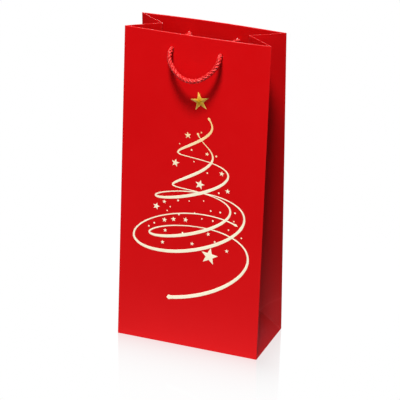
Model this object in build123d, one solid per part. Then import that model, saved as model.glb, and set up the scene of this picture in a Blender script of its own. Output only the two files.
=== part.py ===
from build123d import *
import math
import os

# Two-bottle paper gift bag with side gussets, a block bottom and two corded handles.
# The origin is the centre of the base, on the ground. The front faces -Y, +X is to the right and +Z is up.
# All sizes are in millimetres.

# Driving dimensions of the bag
BAG_WIDTH = 180.0
BASE_DEPTH = 90.0
MOUTH_DEPTH = 52.0
BAG_HEIGHT = 390.0
PAPER = 0.4

# Turned-in top, the reinforcing cards that it wraps, and the glued side seam
HEM_DEPTH = 42.0
CARD_THICKNESS = 0.8
CARD_DEPTH = 39.0
CARD_WIDTH = 172.0
SEAM_WIDTH = 16.0
SEAM_START_HEIGHT = 3.0

# Block bottom
FOOT_HEIGHT = 43.0
BOTTOM_FLAP_LENGTH = 60.0
BOARD_LENGTH = 174.0
BOARD_DEPTH = 85.0
BOARD_THICKNESS = 1.2

# Handles: corded loops through punched holes, knotted inside
CORD_DIAMETER = 5.5
HOLE_DIAMETER = 6.2
HOLE_SPACING = 60.0
HOLE_DROP = 19.0
KNOT_RADIUS = 6.0
KNOT_SINK = 4.4
TAIL_LENGTH = 13.0
TAIL_RADIUS = 2.5
KNOT_GAP = 0.2

# Half of one handle cord's route, from the inside of the wall to the middle of the loop:
# sideways from the bag's middle, out from the wall's face, and up from the hole.
HALF_ROUTE = [
    (30.0, -1.6, 0.0),
    (30.0, 2.0, 0.0),
    (30.2, 5.0, -1.4),
    (30.4, 8.0, -5.2),
    (28.8, 11.6, -10.6),
    (24.8, 15.0, -16.4),
    (18.8, 17.9, -21.9),
    (11.6, 19.9, -26.4),
    (4.0, 20.9, -28.6),
]
# The loop swings as one piece from the middle of the run that starts at this point of the route.
BENDING_RUN = 3
ARC_SHARE = 0.45

# Derived sizes
HALF_WIDTH = BAG_WIDTH / 2
HALF_BASE = BASE_DEPTH / 2
HALF_MOUTH = MOUTH_DEPTH / 2
CARD_INNER = PAPER + CARD_THICKNESS
WALL_INNER = CARD_INNER + PAPER
HEM_BOTTOM = BAG_HEIGHT - HEM_DEPTH
HOLE_HEIGHT = BAG_HEIGHT - HOLE_DROP
END_FLAP_BOTTOM = 2 * PAPER
BOARD_BOTTOM = 3 * PAPER
GAP = 0.05

parts = {}


def half_depth(z):
    """Distance of the front and back walls' outer faces from the middle plane."""
    return HALF_BASE + (HALF_MOUTH - HALF_BASE) * z / BAG_HEIGHT


def crease_inset(z):
    """How far the gusset's centre crease is folded in, for side paper as wide as the base is deep."""
    return math.sqrt(HALF_BASE**2 - half_depth(z) ** 2)


def outline_yz(points, half_length):
    """A closed outline in the YZ plane, given as (y, z), made solid along X about the middle."""
    face = make_face(Polyline(*points, close=True))
    return extrude(Plane.YZ * face, amount=half_length, both=True)


def wall_layer(outer, inner, low, high, half_length):
    """A flat layer of the front wall between two depths from its outer face."""
    points = [
        (outer - half_depth(low), low),
        (outer - half_depth(high), high),
        (inner - half_depth(high), high),
        (inner - half_depth(low), low),
    ]
    return outline_yz(points, half_length)


def hole_cutters():
    """The two cylinders that punch the handle holes through the front wall."""
    depth = half_depth(HOLE_HEIGHT) - WALL_INNER / 2
    cutters = Sketch()
    for side in (-1, 1):
        place = Pos(side * HOLE_SPACING / 2, -depth, HOLE_HEIGHT) * Rot(90, 0, 0)
        cutters += place * Cylinder(HOLE_DIAMETER / 2, 8 * WALL_INNER)
    return cutters


def gusset_x(y, z, depth):
    """Where a layer of the right gusset's front half lies, at a depth from its outer face."""
    h = half_depth(z)
    return HALF_WIDTH - crease_inset(z) * (y + h) / h - depth * HALF_BASE / h


def gusset_layer(outer, inner, wall, low, high, sections):
    """A layer of the right gusset's front half, from a depth in the front wall to the centre crease."""
    faces = []
    for i in range(sections):
        z = low + (high - low) * i / (sections - 1)
        start = wall - half_depth(z)
        corners = [
            (gusset_x(start, z, outer), start, z),
            (gusset_x(0, z, outer), 0, z),
            (gusset_x(0, z, inner), 0, z),
            (gusset_x(start, z, inner), start, z),
        ]
        faces.append(make_face(Polyline(*corners, close=True)))
    return loft(faces, ruled=True)


def gusset_foot():
    """The three triangles that the right side folds into between the base and the first crease."""
    corner = (HALF_WIDTH, PAPER - HALF_BASE, 0)
    edge_y = PAPER - half_depth(FOOT_HEIGHT)
    edge = (gusset_x(edge_y, FOOT_HEIGHT, 0), edge_y, FOOT_HEIGHT)
    apex = (gusset_x(0, FOOT_HEIGHT, 0), 0, FOOT_HEIGHT)
    rear_corner = (corner[0], -corner[1], corner[2])
    rear_edge = (edge[0], -edge[1], edge[2])
    thickness = PAPER * HALF_BASE / half_depth(FOOT_HEIGHT)
    foot = None
    for triangle in ((corner, edge, apex), (corner, apex, rear_corner), (rear_corner, apex, rear_edge)):
        face = make_face(Polyline(*triangle, close=True))
        prism = extrude(face, amount=thickness, dir=(-1, 0, 0))
        foot = prism if foot is None else foot + prism
    return foot


def trapezoid_flap(low):
    """The front bottom flap: as wide as the bag at its crease, with ends that run in at 45 degrees."""
    start = GAP + PAPER - HALF_BASE
    end = BOTTOM_FLAP_LENGTH - HALF_BASE
    half = HALF_WIDTH - 1.0
    narrow = half - (end - start)
    corners = [(-half, start), (half, start), (narrow, end), (-narrow, end)]
    face = make_face(Polyline(*corners, close=True))
    return extrude(Pos(0, 0, low) * face, amount=PAPER)


def joggled_back_flap():
    """The back bottom flap, which steps up onto the front one where they are glued."""
    plan = Rot(0, 0, 180) * trapezoid_flap(0)
    footprint = extrude(plan.faces().sort_by(Axis.Z)[0], amount=-3 * PAPER)
    start = HALF_BASE - PAPER - GAP
    step = BOTTOM_FLAP_LENGTH - HALF_BASE
    end = HALF_BASE - BOTTOM_FLAP_LENGTH
    profile = [
        (start, 0),
        (step + 4 * PAPER, 0),
        (step + PAPER, PAPER),
        (end, PAPER),
        (end, 2 * PAPER),
        (step + PAPER, 2 * PAPER),
        (step + 4 * PAPER, PAPER),
        (start, PAPER),
    ]
    return outline_yz(profile, HALF_WIDTH) & footprint


def whole_route():
    """The route of the front handle's cord from the right hole to the left one, in the bag's frame."""
    face = half_depth(HOLE_HEIGHT)
    right = [(x, -face - out, HOLE_HEIGHT + up) for x, out, up in HALF_ROUTE]
    left = [(-x, y, z) for x, y, z in reversed(right)]
    return right + left


def arc_radii(route):
    """For each inner point of a route, the radius that 0.45 of its shorter run allows."""
    radii = []
    for before, here, after in zip(route, route[1:], route[2:]):
        first = Vector(*here) - Vector(*before)
        second = Vector(*after) - Vector(*here)
        half_turn = math.radians(first.get_angle(second) / 2)
        radii.append(ARC_SHARE * min(first.length, second.length) / math.tan(half_turn))
    return radii


def cord_tube(points, radii):
    """A round tube along straight runs joined by tangent arcs."""
    path = FilletPolyline(*points, radius=radii)
    section = Plane(origin=path @ 0, z_dir=path % 0) * Circle(CORD_DIAMETER / 2)
    tube = sweep(section, path=path)
    expected = math.pi * CORD_DIAMETER**2 / 4 * path.length
    print(f"  tube length {path.length:.1f} mm, volume {tube.volume:.1f} of {expected:.1f} mm3")
    return tube


def middle(a, b):
    return tuple((p + q) / 2 for p, q in zip(a, b))


def mirrored_x(shape):
    return mirror(shape, about=Plane.YZ)


def turned_back(shape):
    """The same piece on the back of the bag."""
    return Rot(0, 0, 180) * shape


def knot(side):
    """One knot inside the front wall, flat against the hem, with its cut tail hanging down."""
    inner_face = half_depth(HOLE_HEIGHT) - WALL_INNER
    centre_y = KNOT_SINK - inner_face
    ball = Pos(side * HOLE_SPACING / 2, centre_y, HOLE_HEIGHT) * Sphere(KNOT_RADIUS)
    tail_place = Pos(side * HOLE_SPACING / 2, centre_y, HOLE_HEIGHT - TAIL_LENGTH / 2)
    piece = ball + tail_place * Cylinder(TAIL_RADIUS, TAIL_LENGTH)
    room = 4 * KNOT_RADIUS
    wall = wall_layer(-room, WALL_INNER + KNOT_GAP, HOLE_HEIGHT - room, BAG_HEIGHT, HALF_WIDTH)
    return piece - wall


# Front and back walls, with their turned-in hems and the cards inside the hems
cutters = hole_cutters()
front_panel = wall_layer(0, PAPER, 0, BAG_HEIGHT, HALF_WIDTH) - cutters
front_card = wall_layer(PAPER, CARD_INNER, BAG_HEIGHT - PAPER - CARD_DEPTH, BAG_HEIGHT - PAPER, CARD_WIDTH / 2)
front_hem = wall_layer(CARD_INNER, WALL_INNER, HEM_BOTTOM, BAG_HEIGHT, CARD_WIDTH / 2)
front_hem += wall_layer(PAPER, WALL_INNER, BAG_HEIGHT - PAPER, BAG_HEIGHT, CARD_WIDTH / 2)
front_bottom_flap = trapezoid_flap(0)
parts["front_panel"] = front_panel
parts["front_card"] = front_card - cutters
parts["front_hem"] = front_hem - cutters
parts["front_bottom_flap"] = front_bottom_flap
for name in ("panel", "card", "hem"):
    parts["back_" + name] = turned_back(parts["front_" + name])
parts["back_bottom_flap"] = joggled_back_flap()

# Side gussets: four long halves, each with its own hem inside the mouth, and two feet
right_foot = gusset_foot()
quarter = {
    "gusset_front": gusset_layer(0, PAPER, PAPER, FOOT_HEIGHT, BAG_HEIGHT, 8),
    "gusset_front_hem": gusset_layer(PAPER, 2 * PAPER, WALL_INNER + 2 * GAP, HEM_BOTTOM, BAG_HEIGHT, 2),
}
for name, shape in quarter.items():
    parts["right_" + name] = shape
    parts["right_" + name.replace("front", "back")] = mirror(shape, about=Plane.XZ)
parts["right_gusset_foot"] = right_foot
for name in [name for name in parts if name.startswith("right_gusset")]:
    parts[name.replace("right", "left")] = mirrored_x(parts[name])

# End flaps, the base board that lies on them, and the seam glued inside the back wall's left edge
flap_reach = BOTTOM_FLAP_LENGTH
flap_depth = BASE_DEPTH - 2 * PAPER - 4 * GAP
flap_middle = HALF_WIDTH - 0.5 - flap_reach / 2
end_flap = Pos(flap_middle, 0, END_FLAP_BOTTOM + PAPER / 2) * Box(flap_reach, flap_depth, PAPER)
end_flap -= right_foot
parts["right_end_flap"] = end_flap
parts["left_end_flap"] = mirrored_x(end_flap)
parts["base_board"] = Pos(0, 0, BOARD_BOTTOM + BOARD_THICKNESS / 2) * Box(BOARD_LENGTH, BOARD_DEPTH, BOARD_THICKNESS)
seam = wall_layer(PAPER, 2 * PAPER, SEAM_START_HEIGHT, HEM_BOTTOM - 1.0, SEAM_WIDTH / 2)
parts["side_seam_flap"] = turned_back(Pos(HALF_WIDTH - 2.0 - SEAM_WIDTH / 2, 0, 0) * seam)

# Handle cords: the loop swings, and its two ends bend between the holes and the loop
route = whole_route()
radii = arc_radii(route)
print("cord radii in diameters:", [round(r / CORD_DIAMETER, 2) for r in radii])
split = middle(route[BENDING_RUN], route[BENDING_RUN + 1])
loop_points = [split] + route[BENDING_RUN + 1 : -BENDING_RUN - 1] + [(-split[0], split[1], split[2])]
end_points = route[: BENDING_RUN + 1] + [split]
right_end = cord_tube(end_points, radii[:BENDING_RUN])
parts["front_handle_cord"] = cord_tube(loop_points, radii[BENDING_RUN:-BENDING_RUN])
parts["front_cord_ends"] = Compound(children=[right_end, mirrored_x(right_end)])
parts["front_right_knot"] = knot(1)
parts["front_left_knot"] = knot(-1)
for name in ("handle_cord", "cord_ends"):
    parts["back_" + name] = turned_back(parts["front_" + name])
parts["back_right_knot"] = turned_back(parts["front_left_knot"])
parts["back_left_knot"] = turned_back(parts["front_right_knot"])

os.makedirs("parts", exist_ok=True)
for name, shape in parts.items():
    export_step(shape, f"parts/{name}.step")
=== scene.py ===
import math
import random

import bmesh
import bpy
from mathutils import Matrix, Vector


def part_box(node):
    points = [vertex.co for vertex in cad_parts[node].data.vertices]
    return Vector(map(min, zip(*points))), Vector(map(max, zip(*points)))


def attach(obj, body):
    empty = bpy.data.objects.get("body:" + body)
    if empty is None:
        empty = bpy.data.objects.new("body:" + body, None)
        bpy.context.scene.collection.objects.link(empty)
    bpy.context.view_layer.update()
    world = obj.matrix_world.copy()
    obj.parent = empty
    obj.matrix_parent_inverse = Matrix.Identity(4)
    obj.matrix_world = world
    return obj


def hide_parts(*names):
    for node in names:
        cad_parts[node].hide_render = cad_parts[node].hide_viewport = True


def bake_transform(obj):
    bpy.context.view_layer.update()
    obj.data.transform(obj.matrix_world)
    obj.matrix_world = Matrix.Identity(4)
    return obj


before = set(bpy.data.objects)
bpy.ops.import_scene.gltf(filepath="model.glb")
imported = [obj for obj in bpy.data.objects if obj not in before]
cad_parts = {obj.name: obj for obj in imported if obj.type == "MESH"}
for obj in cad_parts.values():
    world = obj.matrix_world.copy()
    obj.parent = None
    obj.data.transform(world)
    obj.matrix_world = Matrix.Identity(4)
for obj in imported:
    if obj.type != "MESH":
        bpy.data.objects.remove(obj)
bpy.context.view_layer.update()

# Sizes are in millimetres unless a name or comment says otherwise; meshes are made in metres.
MM = 0.001

# The bag's main sizes, from the frame
panel_low, panel_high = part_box("front_panel")
PAPER = 0.4
HALF_WIDTH = panel_high.x / MM
HEIGHT = panel_high.z / MM
HALF_BASE = -panel_low.y / MM
HALF_MOUTH = PAPER - panel_high.y / MM
FOOT_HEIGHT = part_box("right_gusset_foot")[1].z / MM
HEM_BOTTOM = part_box("front_hem")[0].z / MM
CARD_HALF_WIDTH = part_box("front_card")[1].x / MM
CARD_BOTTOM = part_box("front_card")[0].z / MM
seam_low, seam_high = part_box("side_seam_flap")

# The layers of the walls, as depths below the outer face, and the spacing of the points on the inner ones
CARD_OUTER = 0.45
CARD_INNER = 1.25
WALL_THICK = 1.7
FOLD_THICK = 0.9
FOLD_CHANGE = 3.0
CARD_SIDE_GAP = 1.5
CARD_STEP = 6
SEAM_SIDE_GAP = 0.6
SEAM_STEPS = (3, 7)
LAYER_GAP = 0.05

# Folds and the soft shape of the paper
CORNER_RADIUS = 0.3
TIGHT_RADIUS = 0.05
VALLEY_RADIUS = 0.3
ARC_STEPS = 6
TOP_ARC_STEPS = 8
FRONT_BOW = 2.6
BACK_BOW = 3.8
BOW_DECAY = 120.0
BOW_START = 60.0
GUSSET_BOW = 0.7
FOOT_PINCH = 2.6
FOOT_PINCH_BELOW = 30.0
FOOT_PINCH_ABOVE = 80.0
BACK_CREASE = 0.5
BACK_CREASE_REACH = 12.0

# Two slow waves of the walls: their height, and how far each takes to turn by one radian sideways and upwards
WAVE = 0.16
WAVE_START = 45.0
FIRST_WAVE = (23.0, 61.0)
SECOND_WAVE = (71.0, 37.0)
SECOND_WAVE_SIZE = 0.7

# How much lighter the folds are, from 0 to 1, and how wide the lighter bands are: crease whitening, and on
# the mouth's fold, the folds near the mouth and the foot crease also painted highlight
CREASE_WIDTH = 0.8
FOLD_WEAR = 0.02
BASE_FOLD_WEAR = 0.6
TOP_WEAR_AND_HIGHLIGHT = 0.10
TOP_WEAR_AND_HIGHLIGHT_REACH = 8.0
FRONT_RIM_WEAR_AND_HIGHLIGHT = 0.30
SIDE_RIM_WEAR_AND_HIGHLIGHT = 0.2
FOOT_CREASE_WEAR_AND_HIGHLIGHT = 0.16
FOOT_CREASE_WIDTH = 1.3

# Spacing of the shell's rows and columns: distances from a fold, and the steps between folds
FOLD_STEPS = (0.0, 0.35, 0.8, 1.6, 3.2)
FOLD_ZONE = 6.0
WALL_FOLD_STEPS = (0.0, 0.35, 0.8, 1.4, 2.2, 3.0, 4.0, 5.5, 8.0)
WALL_STEPS = 14
SIDE_STEPS = 8
TOP_FOLD_STEPS = (0.4, 1.0, 2.2)
BASE_FOLD_STEPS = (0.5, 1.5)
FOOT_FOLD_STEPS = (-2.0, -0.7, 0.0, 0.001, 0.7, 2.0)
ROW_STEP = 9.0
ROW_GAP = 0.3
HOLE_SIDES = 40

# The top star: right of the middle, below the mouth, and its radius
TOP_STAR = (6.6, 77.6, 12.0)
TOP_STAR_TILT = -11.0
TOP_STAR_RISE = 0.85

# Handles: the route of half a cord, sideways from the middle, out from the flat wall and up from the hole
HOLE_X = 30.0
HOLE_Z = HEIGHT - 19.0
HOLE_RADIUS = 2.95
HALF_ROUTE = [
    (30.0, -1.6, 0.0),
    (30.0, 3.6, 0.0),
    (30.2, 6.4, -1.4),
    (30.4, 9.0, -5.2),
    (28.8, 12.2, -10.6),
    (24.8, 15.2, -16.4),
    (18.8, 17.9, -21.9),
    (11.6, 19.9, -26.4),
    (4.0, 20.9, -28.6),
]
TWIST_PITCH = 12.6
STRAND_RADIUS = 1.26
STRAND_OFFSET = 1.49
STRAND_SIDES = 16
STRAND_CHANGE = 0.03
STRAND_SHIFT = 7
ROPE_STEP = 0.45
PLY_COUNT = 4
PLY_DEPTH = 0.06
PLY_TURN = 1.3
YARN_SKEW = 0.03
YARN_LENGTH = 4.0
KNOT_SIZE = 1.38
KNOT_SQUEEZE = 0.68
KNOT_DROP = 1.6
KNOT_POINTS = 15
KNOT_GAP = 0.55
KNOT_STAND = 4.6
KNOT_TILT = 0.5
KNOT_DEPTH = 1.4

# The cord before a knot: sideways from the hole, in from the hem's face and up; after it: from the knot's end
KNOT_ENTRY = ((0.0, -3.5, 0.0), (0.4, 1.2, 0.2))
KNOT_TAIL = ((0.4, 1.2, -4.0), (-0.3, 1.0, -9.0))

# The camera: what it looks at and from where, in metres and degrees
CAMERA_AIM = Vector((0.0001, -0.008, 0.1779))
CAMERA_DISTANCE = 2.578
CAMERA_AZIMUTH = 20.93
CAMERA_ELEVATION = 23.76
CAMERA_ROLL = 1.05
CAMERA_LENS = 195.15


# ---------------------------------------------------------------- materials

def new_material(name):
    """A material, its node tree and its main shader."""
    material = bpy.data.materials.new(name)
    material.use_nodes = True
    tree = material.node_tree
    return material, tree, tree.nodes["Principled BSDF"]


def set_inputs(tree, node, inputs):
    """Sets a node's inputs, each to a value or to another node's output."""
    for name, value in inputs.items():
        if isinstance(value, bpy.types.NodeSocket):
            tree.links.new(value, node.inputs[name])
        else:
            node.inputs[name].default_value = value


def add_node(tree, kind, inputs=None, **settings):
    """A new node with its settings and its inputs."""
    made = tree.nodes.new(kind)
    for name, value in settings.items():
        setattr(made, name, value)
    set_inputs(tree, made, inputs or {})
    return made


def object_place(tree):
    return add_node(tree, "ShaderNodeTexCoord").outputs["Object"]


def noise(tree, place, scale, detail=3.0, roughness=0.5):
    inputs = {"Vector": place, "Scale": scale, "Detail": detail, "Roughness": roughness}
    return add_node(tree, "ShaderNodeTexNoise", inputs).outputs["Fac"]


def map_range(tree, value, low, high, new_low, new_high):
    inputs = {"Value": value, "From Min": low, "From Max": high, "To Min": new_low, "To Max": new_high}
    return add_node(tree, "ShaderNodeMapRange", inputs).outputs["Result"]


def mottle(tree, place, scale, low=0.0, high=1.0, detail=3.0, roughness=0.5, reach=0.2):
    """Noise stretched to run from low to high, flat at both; it is softer with a larger reach."""
    return map_range(tree, noise(tree, place, scale, detail, roughness), 0.5 - reach, 0.5 + reach, low, high)


def mix_colour(tree, factor, a, b):
    """One colour mixed into another; a and b are colours or outputs."""
    made = add_node(tree, "ShaderNodeMix", data_type="RGBA")
    set_inputs(tree, made, {0: factor, 6: a, 7: b})
    return made.outputs[2]


def math_node(tree, operation, a, b=0.0):
    return add_node(tree, "ShaderNodeMath", {0: a, 1: b}, operation=operation).outputs[0]


def bump(tree, shader, height, strength, distance, under=None):
    inputs = {"Height": height, "Strength": strength, "Distance": distance}
    if under is not None:
        inputs["Normal"] = under
    made = add_node(tree, "ShaderNodeBump", inputs)
    tree.links.new(made.outputs["Normal"], shader.inputs["Normal"])
    return made.outputs["Normal"]


def laminated_paper(name, low, high):
    """Red art paper under a satin film: slight cloudiness, fibre print-through, and folds lighter, partly
    from wear and partly painted highlight.
    """
    material, tree, shader = new_material(name)
    place = object_place(tree)
    red = mix_colour(tree, mottle(tree, place, 9.0), low, high)
    # The crease attribute lightens the folds: crease whitening, and painted highlight on the mouth's fold,
    # the folds near the mouth and the foot crease
    wear_and_highlight = add_node(tree, "ShaderNodeAttribute", attribute_name="crease").outputs["Fac"]
    worn_and_highlit = math_node(tree, "MULTIPLY", wear_and_highlight, mottle(tree, place, 160.0, 0.55, 1.0, reach=0.15))
    set_inputs(tree, shader, {
        "Base Color": mix_colour(tree, worn_and_highlit, red, (1.0, 0.085, 0.085, 1)),
        "Roughness": mottle(tree, place, 60.0, 0.40, 0.47, detail=4.0),
        "Specular IOR Level": 0.14,
    })
    swell = bump(tree, shader, noise(tree, place, 180.0, 2.0), 0.06, 0.0004)
    bump(tree, shader, noise(tree, place, 1400.0, 3.0, 0.6), 0.05, 0.00005, swell)
    return material


def paper_back():
    """The uncoated inside of the paper."""
    material, tree, shader = new_material("paper_back")
    place = object_place(tree)
    shade = mottle(tree, place, 220.0, detail=5.0, roughness=0.65)
    set_inputs(tree, shader, {
        "Base Color": mix_colour(tree, shade, (0.68, 0.675, 0.65, 1), (0.76, 0.755, 0.73, 1)),
        "Roughness": 0.85,
        "Specular IOR Level": 0.2,
    })
    bump(tree, shader, noise(tree, place, 1500.0, 4.0, 0.7), 0.15, 0.00008)
    return material


def cut_edge(name, core, printed):
    """Where the printed paper is cut: its core, coloured in places by the print. The cord holes get it in
    dark red, as painted shade.
    """
    material, tree, shader = new_material(name)
    place = object_place(tree)
    shade = mottle(tree, place, 900.0, reach=0.15)
    set_inputs(tree, shader, {"Base Color": mix_colour(tree, shade, printed, core), "Roughness": 0.8})
    return material


def grey_board(name, dark, light):
    """Recycled board: grey or brown with flecks and short fibres."""
    material, tree, shader = new_material(name)
    place = object_place(tree)
    base = mix_colour(tree, mottle(tree, place, 70.0, detail=5.0, roughness=0.6), dark, light)
    stretch = add_node(tree, "ShaderNodeMapping", {"Vector": place, "Scale": (260.0, 900.0, 900.0)})
    flecks = map_range(tree, noise(tree, stretch.outputs["Vector"], 1.0), 0.64, 0.72, 0.0, 0.55)
    set_inputs(tree, shader, {
        "Base Color": mix_colour(tree, flecks, base, tuple(c * 0.45 for c in dark[:3]) + (1,)),
        "Roughness": 0.9,
        "Specular IOR Level": 0.2,
    })
    bump(tree, shader, noise(tree, place, 1100.0, 4.0, 0.7), 0.3, 0.0001)
    return material


def rope_yarn():
    """Satin red yarn: fine filaments wound round each strand, with lighter specks that are painted highlights
    for the satin's glints.
    """
    material, tree, shader = new_material("red_cord_yarn")
    across = add_node(tree, "ShaderNodeUVMap", uv_map="strand").outputs["UV"]
    stretch = add_node(tree, "ShaderNodeMapping", {"Vector": across, "Scale": (26.0, 1.2, 1.0)})
    filaments = noise(tree, stretch.outputs["Vector"], 1.0, 3.0, 0.6)
    shade = map_range(tree, filaments, 0.40, 0.60, 0.0, 1.0)
    yarn = mix_colour(tree, shade, (0.44, 0.0048, 0.0055, 1), (0.76, 0.025, 0.026, 1))
    # Lighter specks: painted highlights standing in for the glints of the satin yarn
    painted_glint_specks = map_range(tree, noise(tree, object_place(tree), 420.0), 0.50, 0.60, 0.0, 0.8)
    set_inputs(tree, shader, {
        "Base Color": mix_colour(tree, painted_glint_specks, yarn, (0.90, 0.080, 0.076, 1)),
        "Roughness": 0.34,
        "Specular IOR Level": 0.7,
        "Specular Tint": (1.0, 0.36, 0.32, 1),
        "Sheen Weight": 0.10,
        "Sheen Roughness": 0.4,
        "Sheen Tint": (1.0, 0.35, 0.33, 1),
    })
    bump(tree, shader, filaments, 0.8, 0.0003)
    return material


def foil(name, low, high, low_z, high_z):
    """Hot-stamped foil of one colour below low_z and another above high_z, blended between them."""
    material, tree, shader = new_material(name)
    place = object_place(tree)
    height = add_node(tree, "ShaderNodeSeparateXYZ", {0: place}).outputs["Z"]
    along = map_range(tree, height, low_z * MM, high_z * MM, 0.0, 1.0)
    factor = math_node(tree, "ADD", along, mottle(tree, place, 45.0, -0.12, 0.12))
    set_inputs(tree, shader, {
        "Base Color": mix_colour(tree, factor, low, high),
        "Roughness": mottle(tree, place, 500.0, 0.26, 0.36),
        "Specular IOR Level": 0.2,
    })
    bump(tree, shader, noise(tree, place, 900.0, 3.0), 0.06, 0.00005)
    return material


def star_foil():
    """Gold foil, deeper in the middle of the top star and bright on its points: painted shade in the middle
    and painted highlight on the points, for light on a bevelled star.
    """
    material, tree, shader = new_material("gold_foil")
    place = object_place(tree)
    middle = (TOP_STAR[0] * MM, 0.0, (HEIGHT - TOP_STAR[1]) * MM)
    flat = add_node(tree, "ShaderNodeVectorMath", {0: place, 1: (1.0, 0.0, 1.0)}, operation="MULTIPLY")
    away = add_node(tree, "ShaderNodeVectorMath", {0: flat.outputs[0], 1: middle}, operation="DISTANCE")
    outward = map_range(tree, away.outputs["Value"], 0.001, 0.009, 0.0, 1.0)
    factor = math_node(tree, "ADD", outward, mottle(tree, place, 260.0, -0.25, 0.25, detail=2.0, reach=0.15))
    # Darker in the middle and lighter towards the points: painted shade and painted highlight
    colour = mix_colour(tree, factor, (1.0, 0.50, 0.01, 1), (1.0, 0.64, 0.13, 1))
    set_inputs(tree, shader, {"Base Color": colour, "Roughness": 0.3})
    return material


RED = laminated_paper("red_laminate", (0.63, 0.0020, 0.0032, 1), (0.67, 0.0030, 0.0045, 1))
# A darker copy of the red for the fold at the mouth and the hem inside it: painted shade
SHADED_HEM_RED = laminated_paper("red_laminate_hem_painted_shade", (0.50, 0.0012, 0.0018, 1), (0.54, 0.0018, 0.0026, 1))
WHITE = paper_back()
EDGE = cut_edge("cut_edge", (0.80, 0.70, 0.67, 1), (0.72, 0.42, 0.40, 1))
# Dark red for the walls of the cord holes: painted shade in the holes, not the paper's light core
SHADED_HOLE_EDGE = cut_edge("punched_edge_painted_shade", (0.30, 0.03, 0.03, 1), (0.18, 0.004, 0.004, 1))
CARD = grey_board("card_stock", (0.42, 0.38, 0.32, 1), (0.52, 0.48, 0.41, 1))
BOARD = grey_board("base_greyboard", (0.30, 0.29, 0.27, 1), (0.40, 0.39, 0.36, 1))
YARN = rope_yarn()
# The pale cream lower down is partly painted reflection: gold foil catching bright light, given as its colour
RIBBON_FOIL = foil("cream_gold_foil", (1.0, 0.93, 0.70, 1), (1.0, 0.66, 0.25, 1), 222, 285)
STAR_FOIL = star_foil()


# ---------------------------------------------------------------- meshes

SHARP_ANGLE = 24.0
ROPE_SHARP_ANGLE = 60.0
WELD_DISTANCE = 4e-7
SMALLEST_EDGE = 1e-7


def make_object(name, points, faces, materials, slots=None, sharp=SHARP_ANGLE, crease=None):
    """A smooth-shaded mesh from points in millimetres, with coincident points welded."""
    mesh = bpy.data.meshes.new(name)
    mesh.from_pydata([tuple(c * MM for c in p) for p in points], [], faces)
    for material in materials:
        mesh.materials.append(material)
    if slots is not None:
        mesh.polygons.foreach_set("material_index", slots)
    if crease is not None:
        mesh.attributes.new("crease", "FLOAT", "POINT").data.foreach_set("value", crease)
    work = bmesh.new()
    work.from_mesh(mesh)
    bmesh.ops.remove_doubles(work, verts=work.verts, dist=WELD_DISTANCE)
    bmesh.ops.dissolve_degenerate(work, edges=work.edges, dist=SMALLEST_EDGE)
    bmesh.ops.recalc_face_normals(work, faces=work.faces)
    work.to_mesh(mesh)
    work.free()
    shade_smooth(mesh, sharp)
    made = bpy.data.objects.new(name, mesh)
    bpy.context.scene.collection.objects.link(made)
    return made


def shade_smooth(mesh, sharp):
    """Smooth shading, with edges over that angle left sharp."""
    mesh.polygons.foreach_set("use_smooth", [True] * len(mesh.polygons))
    mesh.set_sharp_from_angle(angle=math.radians(sharp))


class Surface:
    """Points and faces of one mesh, collected from rows of points."""

    def __init__(self):
        self.points = []
        self.faces = []
        self.slots = []

    def add_rows(self, rows, slots=0, closed=False):
        """Joins each row to the next, and its end to its start if closed. slots: one, or one a strip."""
        size = len(rows[0])
        first = len(self.points)
        for row in rows:
            self.points.extend(row)
        for strip in range(len(rows) - 1):
            a = first + strip * size
            b = a + size
            for i in range(size if closed else size - 1):
                j = (i + 1) % size
                self.faces.append((a + i, a + j, b + j, b + i))
                self.slots.append(slots[strip] if isinstance(slots, list) else slots)

    def add_fan(self, row, slot=0):
        """Fills a closed row with triangles from its middle."""
        size = len(row)
        first = len(self.points)
        self.points.extend(row)
        self.points.append(tuple(sum(c) / size for c in zip(*row)))
        for i in range(size):
            self.faces.append((first + i, first + (i + 1) % size, first + size))
            self.slots.append(slot)


def smooth_step(t):
    """An even, rounded rise from 0 to 1 as t goes from 0 to 1."""
    t = min(max(t, 0.0), 1.0)
    return t * t * (3 - 2 * t)


def spread(low, high, step):
    """Places from one value to another, evenly spaced at about that step."""
    count = max(round(abs(high - low) / step), 1)
    return [low + (high - low) * i / count for i in range(count + 1)]


# ---------------------------------------------------------------- shape of the bag

def half_depth(z):
    """How far the outer faces of the front and back walls are from the middle, at a height."""
    return HALF_BASE + (HALF_MOUTH - HALF_BASE) * z / HEIGHT


def crease_inset(z):
    """How far the centre crease of a gusset is folded in, at a height."""
    return math.sqrt(max(HALF_BASE**2 - half_depth(z) ** 2, 0.0))


def wall_bow(x, z, back):
    """How far the front or back wall stands out of its plane: most at the mouth, none at its side folds."""
    across = max(1 - (x / HALF_WIDTH) ** 2, 0.0)
    grow = math.exp((z - HEIGHT) / BOW_DECAY) * smooth_step(z / BOW_START)
    first = math.sin(x / FIRST_WAVE[0] + z / FIRST_WAVE[1] + back * 2)
    second = math.sin(z / SECOND_WAVE[1] - x / SECOND_WAVE[0] + back)
    waves = WAVE * (first + SECOND_WAVE_SIZE * second) * smooth_step(z / WAVE_START)
    bow = BACK_BOW if back else FRONT_BOW
    crease = BACK_CREASE * max(1 - abs(z - FOOT_HEIGHT) / BACK_CREASE_REACH, 0.0) if back else 0.0
    return (bow * grow + waves - crease) * across


def wall_thickness(x):
    """The wall from its face to the face of its hem: thinner where there is no card inside."""
    over = (abs(x) - CARD_HALF_WIDTH) / FOLD_CHANGE
    return WALL_THICK + (FOLD_THICK - WALL_THICK) * smooth_step(over)


def near_folds(length, steps):
    """Places along a length, in millimetres from its start, drawn together towards both its ends."""
    middle = [FOLD_ZONE + (length - 2 * FOLD_ZONE) * i / steps for i in range(steps + 1)]
    return [*FOLD_STEPS, *middle, *(length - step for step in reversed(FOLD_STEPS))]


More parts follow.
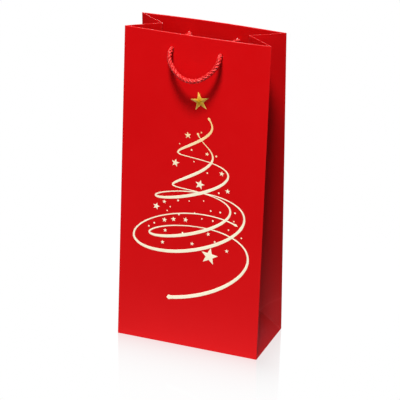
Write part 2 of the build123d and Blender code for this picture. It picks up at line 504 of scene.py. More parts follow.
# Where the columns lie, as fractions from the wall's middle to its fold, across the gusset and along its base
WALL_PLACES = [i / WALL_STEPS for i in range(WALL_STEPS - 1)]
WALL_PLACES += [1 - step / HALF_WIDTH for step in reversed(WALL_FOLD_STEPS)]
SIDE_PLACES = [place / HALF_BASE for place in near_folds(HALF_BASE, SIDE_STEPS)]
BASE_PLACES = [i / SIDE_STEPS for i in range(1, SIDE_STEPS + 1)]


def quarter_columns():
    """The columns of a quarter of the bag's outline, from the middle of a wall to the middle of a gusset."""
    columns = [("wall", t) for t in WALL_PLACES]
    columns += [("corner", i / ARC_STEPS) for i in range(1, ARC_STEPS)]
    columns += [("side", t) for t in SIDE_PLACES]
    columns += [("valley", i / ARC_STEPS) for i in range(1, ARC_STEPS + 1)]
    columns += [("base", t) for t in BASE_PLACES]
    return columns


def turned(vector, target, t):
    """The direction a part of the way round from one unit vector to another."""
    a = math.atan2(vector[1], vector[0])
    b = math.atan2(target[1], target[0])
    turn = (b - a + math.pi) % (2 * math.pi) - math.pi
    return math.cos(a + turn * t), math.sin(a + turn * t)


def quarter_point(kind, t, z, depth):
    """A point of the right front quarter at a height, that deep in the wall: x, y and how much lighter its
    fold is, from wear and painted highlight.
    """
    h = half_depth(z)
    v = crease_inset(z)
    foot = z < FOOT_HEIGHT
    side_h = half_depth(FOOT_HEIGHT) if foot else h
    side_v = crease_inset(FOOT_HEIGHT) if foot else v
    slant = (HALF_BASE + side_v) / side_h
    apex = HALF_WIDTH + CORNER_RADIUS * (slant - 1)
    radius = max(CORNER_RADIUS - depth, TIGHT_RADIUS)
    centre = (apex - (depth + radius) * slant, -h + depth + radius)
    side_out = (side_h / HALF_BASE, side_v / HALF_BASE)
    if kind == "wall":
        return centre[0] * t, -h + depth, math.exp(-(1 - t) * HALF_WIDTH / CREASE_WIDTH)
    if kind == "corner":
        out = turned((0.0, -1.0), side_out, t)
        return centre[0] + radius * out[0], centre[1] + radius * out[1], 1.0
    start = (centre[0] + radius * side_out[0], centre[1] + radius * side_out[1])
    if foot:
        rise = z / FOOT_HEIGHT
        fold_x = HALF_WIDTH - side_v * rise - depth
        along = max((start[0] - fold_x) / side_v, 0.0)
        end = (fold_x, min(start[1] + side_h * along, 0.0))
        if kind == "base":
            return end[0], end[1] * (1 - t), BASE_FOLD_WEAR * math.exp(-abs(end[1]) * t / CREASE_WIDTH)
        arc = 0.0
    else:
        arc = depth + VALLEY_RADIUS
        middle = apex - v + HALF_BASE * VALLEY_RADIUS / h
        end = (middle - arc * side_out[0], -arc * side_out[1])
        if kind == "base":
            return middle - arc, 0.0, 1.0
    if kind == "valley":
        if foot:
            return end[0], end[1], 1.0
        out = turned((-side_out[0], -side_out[1]), (-1.0, 0.0), t)
        return middle + arc * out[0], arc * out[1], 1.0
    reach = FOOT_PINCH_BELOW if foot else FOOT_PINCH_ABOVE
    pinch = FOOT_PINCH * max(1 - abs(z - FOOT_HEIGHT) / reach, 0.0)
    bow = (GUSSET_BOW * smooth_step((z - FOOT_HEIGHT) / BOW_START) - pinch) * math.sin(math.pi * t)
    x = start[0] + (end[0] - start[0]) * t + bow * side_out[0]
    y = start[1] + (end[1] - start[1]) * t + bow * side_out[1]
    edge = min(t, 1 - t) * HALF_BASE
    return x, y, math.exp(-edge / CREASE_WIDTH)


# The columns all the way round: which side, which wall, and the column of that quarter
OUTLINE = [(1, 1, c) for c in quarter_columns()]
OUTLINE += [(1, -1, c) for c in quarter_columns()[-2::-1]]
OUTLINE += [(-1, -1, c) for c in quarter_columns()[1:]]
OUTLINE += [(-1, 1, c) for c in quarter_columns()[-2:0:-1]]


def bag_point(column, z, depth):
    """A point of the bag's wall in one column of the outline, with how much lighter its fold is, from wear
    and painted highlight.
    """
    side, front, (kind, t) = column
    x, y, wear_and_highlight = quarter_point(kind, t, z, depth)
    if kind == "wall":
        y -= wall_bow(side * x, z, front < 0)
    return (side * x, front * y, z), wear_and_highlight


def thickness_at(column):
    """How thick the wall and its hem are together, in one column of the outline."""
    side, front, (kind, t) = column
    return wall_thickness(t * HALF_WIDTH) if kind == "wall" else FOLD_THICK


def rim_wear_and_highlight(column):
    """How much lighter the fold at the mouth is, from wear and painted highlight: most along the front wall,
    less on the gussets, none along the back wall.
    """
    side, front, (kind, t) = column
    if kind != "wall":
        return SIDE_RIM_WEAR_AND_HIGHLIGHT
    return FRONT_RIM_WEAR_AND_HIGHLIGHT if front > 0 else 0.0


def fold_row(angle, inner):
    """A row of points round the fold at the mouth: angle 0 is the outer face and pi is the hem's."""
    row = []
    for column in OUTLINE:
        thick = thickness_at(column)
        radius = thick / 2 - (PAPER if inner else 0.0)
        z = HEIGHT - thick / 2 + radius * math.sin(angle)
        point, wear_and_highlight = bag_point(column, z, thick / 2 - radius * math.cos(angle))
        # The lighter band peaks on top of the fold, where light from above falls: painted highlight as well
        # as wear
        row.append((point, 0.0 if inner else rim_wear_and_highlight(column) * math.sin(angle) ** 6))
    return row


def level_row(z, depth_of):
    """A level row of points with how much lighter its folds are, from wear and painted highlight, strongest
    near the mouth and at the foot.
    """
    # Near the mouth and along the foot crease the folds are painted lighter: painted highlight as well as
    # wear
    near_top = FOLD_WEAR + TOP_WEAR_AND_HIGHLIGHT * math.exp((z - HEIGHT) / TOP_WEAR_AND_HIGHLIGHT_REACH)
    across = FOOT_CREASE_WEAR_AND_HIGHLIGHT * math.exp(-abs(z - FOOT_HEIGHT) / FOOT_CREASE_WIDTH)
    row = []
    for column in OUTLINE:
        side, front, (kind, t) = column
        point, wear_and_highlight = bag_point(column, z, depth_of(column))
        if kind in ("side", "valley", "base"):
            folds = near_top + (FOOT_CREASE_WEAR_AND_HIGHLIGHT if z <= FOOT_HEIGHT else 0.0)
            row.append((point, wear_and_highlight * folds + across))
        else:
            row.append((point, wear_and_highlight * near_top + (across if kind == "wall" and front < 0 else 0.0)))
    return row


def wall_heights(low, high):
    """Heights for the rows of a wall, closer together at its folds."""
    heights = {low, *(high - step for step in TOP_FOLD_STEPS)}
    if low < FOOT_HEIGHT < high:
        heights |= {*BASE_FOLD_STEPS, *(FOOT_HEIGHT + step for step in FOOT_FOLD_STEPS)}
    heights |= set(spread(low, high, ROW_STEP))
    ordered = sorted(heights)
    after = ordered[1:] + [math.inf]
    return [z for z, above in zip(ordered, after) if above - z > ROW_GAP or z in (low, FOOT_HEIGHT)]


def build_shell():
    """The bag's body: one folded sheet of paper with its walls, gussets, feet and turned-in hem."""
    top = HEIGHT - WALL_THICK / 2 - ROW_GAP
    heights = wall_heights(0.0, top)
    hem_heights = wall_heights(HEM_BOTTOM, top)
    angles = [math.pi * i / TOP_ARC_STEPS for i in range(TOP_ARC_STEPS + 1)]
    outside, inside, cut, hem = range(4)
    groups = [
        (outside, [level_row(z, lambda c: 0.0) for z in heights]),
        (hem, [fold_row(a, False) for a in angles]),
        (hem, [level_row(z, thickness_at) for z in reversed(hem_heights)]),
        (cut, [level_row(HEM_BOTTOM, lambda c: thickness_at(c) - PAPER)]),
        (inside, [level_row(z, lambda c: thickness_at(c) - PAPER) for z in hem_heights[1:]]),
        (inside, [fold_row(a, True) for a in reversed(angles)]),
        (inside, [level_row(z, lambda c: PAPER) for z in reversed(heights)]),
        (cut, [level_row(0.0, lambda c: 0.0)]),
    ]
    rows = []
    strips = []
    for slot, group in groups:
        rows += group
        strips += [slot] * len(group)
    surface = Surface()
    surface.add_rows([[point for point, wear_and_highlight in row] for row in rows], strips[1:], closed=True)
    wear_and_highlight = [w for row in rows for point, w in row]
    # The fold at the mouth and the hem take the darker copy of the red: painted shade
    materials = [RED, WHITE, EDGE, SHADED_HEM_RED]
    return make_object("bag_shell", surface.points, surface.faces, materials, surface.slots, crease=wear_and_highlight)


def punch_holes(piece):
    """Cuts the cord holes through a piece; the cut walls take the cutter's dark red, painted shade in the
    holes.
    """
    rows = []
    for y in (-HALF_BASE, HALF_BASE):
        ring = [math.tau * i / HOLE_SIDES for i in range(HOLE_SIDES)]
        rows.append([(HOLE_RADIUS * math.cos(a), y, HOLE_RADIUS * math.sin(a)) for a in ring])
    for side in (-1, 1):
        surface = Surface()
        placed = [[(x + side * HOLE_X, y, z + HOLE_Z) for x, y, z in row] for row in rows]
        surface.add_rows(placed, closed=True)
        surface.add_fan(placed[0])
        surface.add_fan(placed[1])
        cutter = make_object("hole_cutter", surface.points, surface.faces, [SHADED_HOLE_EDGE])
        cut = piece.modifiers.new("holes", "BOOLEAN")
        cut.operation = "DIFFERENCE"
        cut.solver = "EXACT"
        cut.material_mode = "TRANSFER"
        cut.object = cutter
        mesh = bpy.data.meshes.new_from_object(piece.evaluated_get(bpy.context.evaluated_depsgraph_get()))
        piece.modifiers.clear()
        piece.data = mesh
        bpy.data.objects.remove(cutter)
    shade_smooth(piece.data, SHARP_ANGLE)


def wall_slab(name, x_places, z_places, outer, inner, back, materials):
    """A sheet lying inside a wall, which follows the wall's bow. outer and inner are its depths."""
    front = -1 if back else 1

    def row(x, depth):
        points = []
        for z in z_places:
            y = -half_depth(z) + depth - wall_bow(x, z, back)
            points.append((x, front * y, z))
        return points

    around = []
    for x in x_places:
        around.append(row(x, outer) + row(x, inner)[::-1])
    surface = Surface()
    surface.add_rows(around, closed=True)
    count = len(z_places)
    for first in (0, (len(around) - 1) * 2 * count):
        last = first + 2 * count - 1
        for i in range(count - 1):
            surface.faces.append((first + i, first + i + 1, last - 1 - i, last - i))
            surface.slots.append(0)
    return make_object(name, surface.points, surface.faces, materials, surface.slots)


# ---------------------------------------------------------------- cords and knots

def nurbs_line(points, name):
    """A smooth line through space with those control points, read back as a dense list of points."""
    curve = bpy.data.curves.new(name, "CURVE")
    curve.dimensions = "3D"
    curve.resolution_u = 24
    spline = curve.splines.new("NURBS")
    spline.points.add(len(points) - 1)
    for control, place in zip(spline.points, points):
        control.co = (*place, 1.0)
    spline.order_u = 3
    spline.use_endpoint_u = True
    holder = bpy.data.objects.new(name, curve)
    mesh = bpy.data.meshes.new_from_object(holder)
    line = [vertex.co.copy() for vertex in mesh.vertices]
    bpy.data.objects.remove(holder)
    bpy.data.curves.remove(curve)
    bpy.data.meshes.remove(mesh)
    return line


def even_steps(line, step):
    """The line's points again, evenly spaced, with each point's distance along it."""
    lengths = [0.0]
    for a, b in zip(line, line[1:]):
        lengths.append(lengths[-1] + (b - a).length)
    count = max(round(lengths[-1] / step), 2)
    points = []
    part = 0
    for i in range(count + 1):
        goal = lengths[-1] * i / count
        while part < len(line) - 2 and lengths[part + 1] < goal:
            part += 1
        span = lengths[part + 1] - lengths[part]
        t = (goal - lengths[part]) / span if span > 0 else 0.0
        points.append((line[part].lerp(line[part + 1], t), goal))
    return points


def line_frames(points):
    """Two directions across the line at each point, carried along it without twist."""
    tangents = []
    for i in range(len(points)):
        ahead = points[min(i + 1, len(points) - 1)][0] - points[max(i - 1, 0)][0]
        tangents.append(ahead.normalized())
    across = tangents[0].orthogonal().normalized()
    frames = []
    for tangent in tangents:
        across = (across - tangent * across.dot(tangent)).normalized()
        frames.append((across, tangent.cross(across)))
    return frames


def rope(name, line, size=1.0, seed=0):
    """Three strands laid round a line in metres, as one mesh with the way along each strand in its UV map."""
    ring = STRAND_SIDES
    points = even_steps(line, ROPE_STEP * MM)
    frames = line_frames(points)
    mesh_points = []
    faces = []
    across = []
    chance = random.Random(seed)
    for strand in range(3):
        phase = math.tau * strand / 3
        full = 1 + chance.uniform(-STRAND_CHANGE, STRAND_CHANGE)
        centres = []
        for (place, along), (side, up) in zip(points, frames):
            turn = phase + math.tau * along / (TWIST_PITCH * size * MM)
            offset = (side * math.cos(turn) + up * math.sin(turn)) * STRAND_OFFSET * size * MM
            centres.append((place + offset, along))
        strand_frames = line_frames(centres)
        first = len(mesh_points)
        for (centre, along), (side, up) in zip(centres, strand_frames):
            for i in range(ring):
                a = math.tau * i / ring
                ply = 1 + PLY_DEPTH * math.cos(PLY_COUNT * a - PLY_TURN * along / MM)
                radius = STRAND_RADIUS * size * full * ply * MM
                mesh_points.append(centre + (side * math.cos(a) + up * math.sin(a)) * radius)
                turned_by = i / ring + YARN_SKEW * along / MM
                across.append((turned_by, along / (YARN_LENGTH * MM) + strand * STRAND_SHIFT))
        rows = len(centres)
        for row in range(rows - 1):
            for i in range(ring):
                a = first + row * ring + i
                b = first + row * ring + (i + 1) % ring
                faces.append((a, b, b + ring, a + ring))
        for end, turn in ((first, -1), (first + (rows - 1) * ring, 1)):
            loop = list(range(end, end + ring))[::turn]
            faces.append(tuple(loop))
    mesh = bpy.data.meshes.new(name)
    mesh.from_pydata(mesh_points, [], faces)
    mesh.materials.append(YARN)
    strand_map = mesh.uv_layers.new(name="strand")
    for face in mesh.polygons:
        seam = any(v % ring == ring - 1 for v in face.vertices) and any(v % ring == 0 for v in face.vertices)
        for corner in face.loop_indices:
            vertex = mesh.loops[corner].vertex_index
            u, v = across[vertex]
            if seam and vertex % ring == 0 and len(face.vertices) == 4:
                u += 1.0
            strand_map.data[corner].uv = (u, v)
    shade_smooth(mesh, ROPE_SHARP_ANGLE)
    made = bpy.data.objects.new(name, mesh)
    bpy.context.scene.collection.objects.link(made)
    return made


def handle_line(front):
    """The whole route of one handle cord, in metres; the back one is turned half round."""
    half = [(x, -(half_depth(HOLE_Z) + out), HOLE_Z + up) for x, out, up in HALF_ROUTE]
    whole = half + [(-x, y, z) for x, y, z in reversed(half)]
    return nurbs_line([(front * x * MM, front * y * MM, z * MM) for x, y, z in whole], "cord_route")


def knot_line(side, front):
    """An overhand knot against the hem: out of the hole, round its lobes, and down into a short tail."""
    wall = -half_depth(HOLE_Z) + WALL_THICK - wall_bow(HOLE_X, HOLE_Z, front < 0)
    size = KNOT_SIZE
    spin = KNOT_TILT * side * front
    middle_y = wall + KNOT_STAND
    points = [(x, wall + inward, z) for x, inward, z in KNOT_ENTRY]
    for i in range(KNOT_POINTS):
        t = KNOT_GAP + (math.tau - 2 * KNOT_GAP) * i / (KNOT_POINTS - 1)
        x = size * (math.sin(t) + 2 * math.sin(2 * t))
        z = size * (math.cos(t) - 2 * math.cos(2 * t))
        points.append((x * math.cos(spin) - z * math.sin(spin),
                       middle_y - KNOT_DEPTH * size * math.sin(3 * t),
                       x * math.sin(spin) + z * math.cos(spin) - KNOT_DROP))
    last = points[-1]
    points += [(last[0] + x, middle_y + inward, last[2] + z) for x, inward, z in KNOT_TAIL]
    return nurbs_line([(front * (side * (HOLE_X + x)) * MM, front * y * MM, (HOLE_Z + z) * MM)
                       for x, y, z in points], "knot_route")


# ---------------------------------------------------------------- foil drawing on the front wall

FOIL_LOW = 0.02
FOIL_HIGH = 0.07
FOIL_EDGE = 0.9
CROSSING_RISE = 0.05
CLIMB = 0.03
BLOB_LENGTH = 2.0
BLOB_REACH = 2.4
BLOB_SWELL = 1.76
DOT_SIDES = 12
STAR_EDGE = 0.97
LOW_STAR = (25.0, 268.0, 11.0)
LOW_STAR_TURN = 8.0
LOW_STAR_RISE = 0.28

# The scattered stars, largest first and the dots last; the drops that they fill, and the gaps round them
STAR_SIZES = [6.2, 5.2, 4.6, 4.4] + [3.3] * 5 + [2.6] * 7 + [0.95] * 26
SCATTER_DROPS = (112, 262)
SCATTER_TRIES = 400
STROKE_GAP = 2.4
STAR_GAP = 4.5
STAR_TURN = 14
DOT_CHANGE = (0.75, 1.25)

# The tree's outline: half its width at its top, the drop there, how much it widens over a height, its middle
TREE_TIP = 10
TREE_TOP = 95
TREE_WIDENS = 72
TREE_HEIGHT = 200
TREE_MIDDLE = 5

# Each swirl: its drops below the mouth, its radii and its middles, all at its start and end; its turns and
# its first angle in degrees; how far its rings tilt open; and how its fall slows, where 1 would be steady
SWIRLS = [
    {"drops": (97.0, 266.0), "radii": (11.0, 84.0), "middles": (9.0, 2.0),
     "turns": 2.98, "start": -40.0, "tilt": 0.55, "fall": 0.88},
    {"drops": (116.0, 290.0), "radii": (9.0, 78.0), "middles": (8.0, 3.0),
     "turns": 2.62, "start": -110.0, "tilt": 0.50, "fall": 0.85},
]
SWIRL_STEPS = 460
SWIRL_FIRST_OPENING = 0.12
SWIRL_LEAN = 0.14
SWIRL_THIN = 1.3
SWIRL_THICKENS = 3.2
SWIRL_TOP_WIDTH = 0.72


def between(ends, t):
    """The value a part of the way, t, from one end to the other."""
    return ends[0] + (ends[1] - ends[0]) * t


def on_front(x, drop, out):
    """A point on the front wall, from its distance right of the middle and below the mouth."""
    z = HEIGHT - drop
    return x, -half_depth(z) - wall_bow(x, z, False) - out, z


def swirl_path(swirl):
    """The middle line of one swirl, with its width: a cone's helix, seen more from above lower down."""
    path = []
    for i in range(SWIRL_STEPS + 1):
        t = i / SWIRL_STEPS
        angle = math.radians(swirl["start"]) + math.tau * swirl["turns"] * t
        radius = between(swirl["radii"], t)
        opened = swirl["tilt"] * (SWIRL_FIRST_OPENING + (1 - SWIRL_FIRST_OPENING) * t**1.3)
        x = between(swirl["middles"], t) + radius * math.cos(angle)
        drop = between(swirl["drops"], t ** swirl["fall"])
        drop += radius * (opened * math.sin(angle) - SWIRL_LEAN * math.cos(angle))
        nearness = 0.5 + 0.5 * math.sin(angle)
        width = (SWIRL_THIN + SWIRL_THICKENS * nearness**1.3) * (SWIRL_TOP_WIDTH + (1 - SWIRL_TOP_WIDTH) * t)
        path.append((x, drop, width))
    return path


def ribbon(surface, path, lift):
    """A raised foil stroke along a path of (x, drop, width), with round ends."""
    rows = []
    ends = (path[0], path[-1])
    for i, (x, drop, width) in enumerate(path):
        before, after = path[max(i - 1, 0)], path[min(i + 1, len(path) - 1)]
        run = math.hypot(after[0] - before[0], after[1] - before[1])
        side = (-(after[1] - before[1]) / run, (after[0] - before[0]) / run)
        reach = min(math.hypot(x - end[0], drop - end[1]) for end in ends)
        swell = BLOB_SWELL * math.exp(-((reach - BLOB_LENGTH) / BLOB_REACH) ** 2)
        half = (width + swell) / 2
        if reach < BLOB_LENGTH:
            half *= math.sqrt(max(1 - (1 - reach / BLOB_LENGTH) ** 2, 0.0004))
        corners = [(side[0] * half, side[1] * half), (-side[0] * half, -side[1] * half)]
        rise = lift + CLIMB * i / len(path)
        row = [on_front(x + dx, drop + dz, FOIL_LOW) for dx, dz in corners]
        row += [on_front(x + dx * FOIL_EDGE, drop + dz * FOIL_EDGE, FOIL_HIGH + rise)
                for dx, dz in reversed(corners)]
        rows.append(row)
    surface.add_rows(rows, closed=True)
    surface.add_fan(rows[0])
    surface.add_fan(rows[-1])


def star(surface, x, drop, radius, turn, high, inner=0.42):
    """A five-pointed star with a raised middle; inner is the part of the radius that its notches reach."""
    outline = []
    for i in range(10):
        reach = radius if i % 2 == 0 else radius * inner
        a = math.radians(turn) + math.tau * i / 10
        outline.append((reach * math.sin(a), -reach * math.cos(a)))
    low = [on_front(x + dx, drop + dz, FOIL_LOW) for dx, dz in outline]
    rim = [on_front(x + dx * STAR_EDGE, drop + dz * STAR_EDGE, FOIL_HIGH) for dx, dz in outline]
    surface.add_rows([low, rim], closed=True)
    surface.add_fan(low)
    first = len(surface.points)
    surface.points.extend(rim)
    surface.points.append(on_front(x, drop, high))
    for i in range(10):
        surface.faces.append((first + i, first + (i + 1) % 10, first + 10))
        surface.slots.append(0)


def dot(surface, x, drop, radius):
    """A small round spot of foil."""
    turns = [math.tau * i / DOT_SIDES for i in range(DOT_SIDES)]
    ring = [(radius * math.cos(turn), radius * math.sin(turn)) for turn in turns]
    rows = [[on_front(x + a, drop + b, FOIL_LOW) for a, b in ring]]
    rows.append([on_front(x + a * FOIL_EDGE, drop + b * FOIL_EDGE, FOIL_HIGH) for a, b in ring])
    surface.add_rows(rows, closed=True)
    surface.add_fan(rows[0])
    surface.add_fan(rows[1])


def build_drawing():
    """A generic tree of two swirls with scattered stars, stamped on the front wall."""
    paths = [swirl_path(swirl) for swirl in SWIRLS]
    swirls = Surface()
    for path, lift in zip(paths, (0.0, CROSSING_RISE)):
        ribbon(swirls, path, lift)
    drawn = [make_object("foil_swirls", swirls.points, swirls.faces, [RIBBON_FOIL], sharp=12)]
    strokes = [(x, drop) for path in paths for x, drop, width in path[::3]]
    chance = random.Random(11)
    scatter = Surface()
    placed = [LOW_STAR]
    star(scatter, *LOW_STAR, LOW_STAR_TURN, LOW_STAR_RISE)
    for radius in STAR_SIZES:
        for attempt in range(SCATTER_TRIES):
            drop = chance.uniform(*SCATTER_DROPS)
            reach = TREE_TIP + TREE_WIDENS * (drop - TREE_TOP) / TREE_HEIGHT
            x = chance.uniform(-1, 1) * reach + TREE_MIDDLE
            clear = all(math.hypot(x - a, drop - b) > radius + STROKE_GAP for a, b in strokes)
            apart = all(math.hypot(x - a, drop - b) > radius + c + STAR_GAP for a, b, c in placed)
            if clear and apart:
                break
        else:
            continue
        placed.append((x, drop, radius))
        if radius < 1:
            dot(scatter, x, drop, radius * chance.uniform(*DOT_CHANGE))
        else:
            star(scatter, x, drop, radius, chance.uniform(-STAR_TURN, STAR_TURN), 0.1 + radius * 0.018)
    drawn.append(make_object("foil_stars", scatter.points, scatter.faces, [RIBBON_FOIL], sharp=12))
    crown = Surface()
    star(crown, *TOP_STAR, TOP_STAR_TILT, TOP_STAR_RISE, inner=0.38)
    drawn.append(make_object("foil_top_star", crown.points, crown.faces, [STAR_FOIL], sharp=5))
    return drawn


# ---------------------------------------------------------------- the bag

shell = build_shell()
punch_holes(shell)
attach(shell, "bag")
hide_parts("front_panel", "back_panel", "front_hem", "back_hem",
            "right_gusset_front", "right_gusset_back", "left_gusset_front", "left_gusset_back",
            "right_gusset_front_hem", "right_gusset_back_hem",
            "left_gusset_front_hem", "left_gusset_back_hem",
            "right_gusset_foot", "left_gusset_foot")

for name, back in (("front_card", False), ("back_card", True)):
    card_reach = CARD_HALF_WIDTH - CARD_SIDE_GAP
    card_x = spread(-card_reach, card_reach, CARD_STEP)
    card_z = spread(CARD_BOTTOM, HEIGHT - CARD_INNER, CARD_STEP)
    card = wall_slab(name + "_bowed", card_x, card_z, CARD_OUTER, CARD_INNER, back, [CARD])
    punch_holes(card)
    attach(card, "bag")
    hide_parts(name)

seam_x = spread(seam_low.x / MM + SEAM_SIDE_GAP, seam_high.x / MM, SEAM_STEPS[0])
seam_z = spread(seam_low.z / MM, seam_high.z / MM, SEAM_STEPS[1])
seam = wall_slab("side_seam", seam_x, seam_z, PAPER + LAYER_GAP, 2 * PAPER + LAYER_GAP, True, [WHITE])
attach(seam, "bag")
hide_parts("side_seam_flap")

for name in ("front_bottom_flap", "back_bottom_flap", "right_end_flap", "left_end_flap"):
    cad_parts[name].data.materials.clear()
    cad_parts[name].data.materials.append(RED)
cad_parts["base_board"].data.materials.clear()
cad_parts["base_board"].data.materials.append(BOARD)

for piece in build_drawing():
    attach(piece, "bag")

for word, front in (("front", 1), ("back", -1)):
    for side_word, side in (("right", 1), ("left", -1)):
        name = f"{word}_{side_word}_rope_knot"
        knot = rope(name, knot_line(side, front), KNOT_SQUEEZE, seed=side + 3 * front)
        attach(knot, "bag")
        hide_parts(f"{word}_{side_word}_knot")
    line = handle_line(front)
    handle = rope(f"{word}_handle_rope", line, seed=front + 5)
    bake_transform(handle)
    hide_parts(f"{word}_handle_cord", f"{word}_cord_ends")


# ---------------------------------------------------------------- camera, light and floor

WORLD_FILL = 0.03
LIGHT_AIM = Vector((0.0, 0.0, 0.25))
FLOOR_SIZE = 12.0
FLOOR_DEPTH = 0.0003

# How much light the floor sends up to matt surfaces and to glossy ones, and how much of it mirrors the bag
TABLE_BOUNCE = 0.36
TABLE_BOUNCE_NEAR = 0.50
TABLE_SHINE = 1.45
TABLE_MIRROR = 0.26

# How far from the bag each of these fades to about a third, in metres
MIRROR_REACH = 0.036
NEAR_REACH = 0.09
FAR_REACH = 0.32

# Ramps: where each starts and ends, and its values there. The sky's are along a direction, and the
# floor's are in metres
SKY_BEHIND = (-0.1, 0.5, 0.12, 1.0)
SKY_ABOVE = (0.20, 0.36, 0.06, 1.0)
SHINE_BEHIND = (0.064, 0.088, 1.0, 0.05)
SHADE_FROM_SIDE = (0.084, 0.091, 0.0, 0.9)
SHADE_NEAR_SIDE = (0.112, 0.140, 1.0, 0.3)


def place_camera():
    """The camera, turned about the point that it looks at, with a slight roll."""
    a, e, r = (math.radians(angle) for angle in (CAMERA_AZIMUTH, CAMERA_ELEVATION, CAMERA_ROLL))
    forward = Vector((-math.sin(a) * math.cos(e), math.cos(a) * math.cos(e), -math.sin(e)))
    level = Vector((math.cos(a), math.sin(a), 0))
    upright = level.cross(forward)
    right = math.cos(r) * level + math.sin(r) * upright
    up = -math.sin(r) * level + math.cos(r) * upright
    data = bpy.data.cameras.new("camera")
    data.lens = CAMERA_LENS
    data.sensor_width = 36.0
    data.clip_end = 50.0
    camera = bpy.data.objects.new("camera", data)
    turn = Matrix((right, up, -forward)).transposed().to_4x4()
    camera.matrix_world = Matrix.Translation(CAMERA_AIM - forward * CAMERA_DISTANCE) @ turn
    bpy.context.scene.collection.objects.link(camera)
    bpy.context.scene.camera = camera


def area_light(name, azimuth, elevation, distance, wide, tall, power):
    """A softbox, in metres and watts; azimuth 0 is straight in front of the bag and 90 is on its right."""
    a, e = math.radians(azimuth), math.radians(elevation)
    back = Vector((math.sin(a) * math.cos(e), -math.cos(a) * math.cos(e), math.sin(e)))
    data = bpy.data.lights.new(name, "AREA")
    data.shape = "RECTANGLE"
    data.size = wide
    data.size_y = tall
    data.energy = power
    light = bpy.data.objects.new(name, data)
    light.location = LIGHT_AIM + back * distance
    light.rotation_mode = "QUATERNION"
    light.rotation_quaternion = (-back).to_track_quat("-Z", "Y")
    bpy.context.scene.collection.objects.link(light)


def build_world():
    """White to the camera, and in gloss from behind and above the bag; dim in other gloss and as a fill."""
    world = bpy.data.worlds.new("studio")
    world.use_nodes = True
    tree = world.node_tree
    ray = add_node(tree, "ShaderNodeLightPath")
    direction = add_node(tree, "ShaderNodeTexCoord").outputs["Generated"]
    towards = add_node(tree, "ShaderNodeSeparateXYZ", {0: direction})
    behind = map_range(tree, towards.outputs["Y"], *SKY_BEHIND)
    above = map_range(tree, towards.outputs["Z"], *SKY_ABOVE)
    white = math_node(tree, "MULTIPLY", behind, above)
    seen = math_node(tree, "MAXIMUM", white, ray.outputs["Is Camera Ray"])
    plain = tree.nodes["Background"]
    plain.inputs["Color"].default_value = (1, 1, 1, 1)
    tree.links.new(seen, plain.inputs["Strength"])
    soft = add_node(tree, "ShaderNodeBackground", {"Color": (1.0, 0.98, 0.97, 1), "Strength": WORLD_FILL})
    mixed = add_node(tree, "ShaderNodeMixShader", {
        "Fac": ray.outputs["Is Diffuse Ray"], 1: plain.outputs[0], 2: soft.outputs[0]})
    tree.links.new(mixed.outputs[0], tree.nodes["World Output"].inputs["Surface"])
    bpy.context.scene.world = world


def falloff(tree, away, reach):
    """1 beside the bag, fading away from it."""
    return math_node(tree, "POWER", math.e, math_node(tree, "DIVIDE", away, -reach))


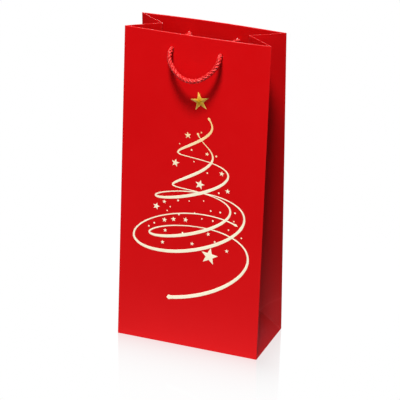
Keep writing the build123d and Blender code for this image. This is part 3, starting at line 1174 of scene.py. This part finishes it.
def build_floor():
    """A wide pale floor that mirrors the bag's foot faintly, and glows less in gloss behind and beside it."""
    material = bpy.data.materials.new("pale_floor")
    material.use_nodes = True
    tree = material.node_tree
    tree.nodes.remove(tree.nodes["Principled BSDF"])
    place = add_node(tree, "ShaderNodeSeparateXYZ", {0: object_place(tree)})
    reaches = []
    for axis, half in (("X", HALF_WIDTH), ("Y", HALF_BASE)):
        beyond = math_node(tree, "SUBTRACT", math_node(tree, "ABSOLUTE", place.outputs[axis]), half * MM)
        reaches.append(math_node(tree, "MAXIMUM", beyond, 0.0))
    squares = [math_node(tree, "POWER", reach, 2.0) for reach in reaches]
    away = math_node(tree, "SQRT", math_node(tree, "ADD", *squares))
    gloss = math_node(tree, "MULTIPLY", falloff(tree, away, MIRROR_REACH), TABLE_MIRROR)
    ray = add_node(tree, "ShaderNodeLightPath")
    glow = add_node(tree, "ShaderNodeEmission", {"Color": (1, 1, 1, 1), "Strength": 1.0})
    mirror = add_node(tree, "ShaderNodeBsdfGlossy", {"Color": (1, 1, 1, 1), "Roughness": 0.06})
    behind = map_range(tree, place.outputs["Y"], *SHINE_BEHIND)
    further = falloff(tree, away, FAR_REACH)
    from_side = map_range(tree, place.outputs["X"], *SHADE_FROM_SIDE)
    near_side = map_range(tree, place.outputs["X"], *SHADE_NEAR_SIDE)
    beside = math_node(tree, "SUBTRACT", 1.0, math_node(tree, "MULTIPLY", from_side, near_side))
    shaded = math_node(tree, "MULTIPLY", behind, beside)
    shine = math_node(tree, "MULTIPLY", math_node(tree, "MULTIPLY", shaded, further), TABLE_SHINE)
    glint = add_node(tree, "ShaderNodeEmission", {"Color": (0.72, 0.84, 1.12, 1), "Strength": shine})
    close = falloff(tree, away, NEAR_REACH)
    bounce = math_node(tree, "ADD", math_node(tree, "MULTIPLY", further, TABLE_BOUNCE),
                       math_node(tree, "MULTIPLY", close, TABLE_BOUNCE_NEAR))
    matte = add_node(tree, "ShaderNodeEmission", {"Color": (1, 1, 1, 1), "Strength": bounce})
    other = add_node(tree, "ShaderNodeMixShader", {
        "Fac": ray.outputs["Is Glossy Ray"], 1: matte.outputs[0], 2: glint.outputs[0]})
    seen = add_node(tree, "ShaderNodeMixShader", {"Fac": gloss, 1: glow.outputs[0], 2: mirror.outputs[0]})
    mixed = add_node(tree, "ShaderNodeMixShader", {
        "Fac": ray.outputs["Is Camera Ray"], 1: other.outputs[0], 2: seen.outputs[0]})
    tree.links.new(mixed.outputs[0], tree.nodes["Material Output"].inputs["Surface"])
    bpy.ops.mesh.primitive_plane_add(size=FLOOR_SIZE, location=(0, 0, -FLOOR_DEPTH))
    floor = bpy.context.object
    floor.name = "floor"
    floor.data.materials.append(material)


place_camera()
area_light("key", azimuth=3.0, elevation=65.5, distance=4.0, wide=1.0, tall=0.8, power=268.0)
area_light("front_fill", azimuth=16.0, elevation=20.0, distance=3.0, wide=1.7, tall=0.8, power=12.0)
area_light("back_fill", azimuth=190.0, elevation=12.0, distance=3.0, wide=1.8, tall=0.9, power=60.0)
build_world()
build_floor()
bpy.context.scene.view_settings.view_transform = "Standard"
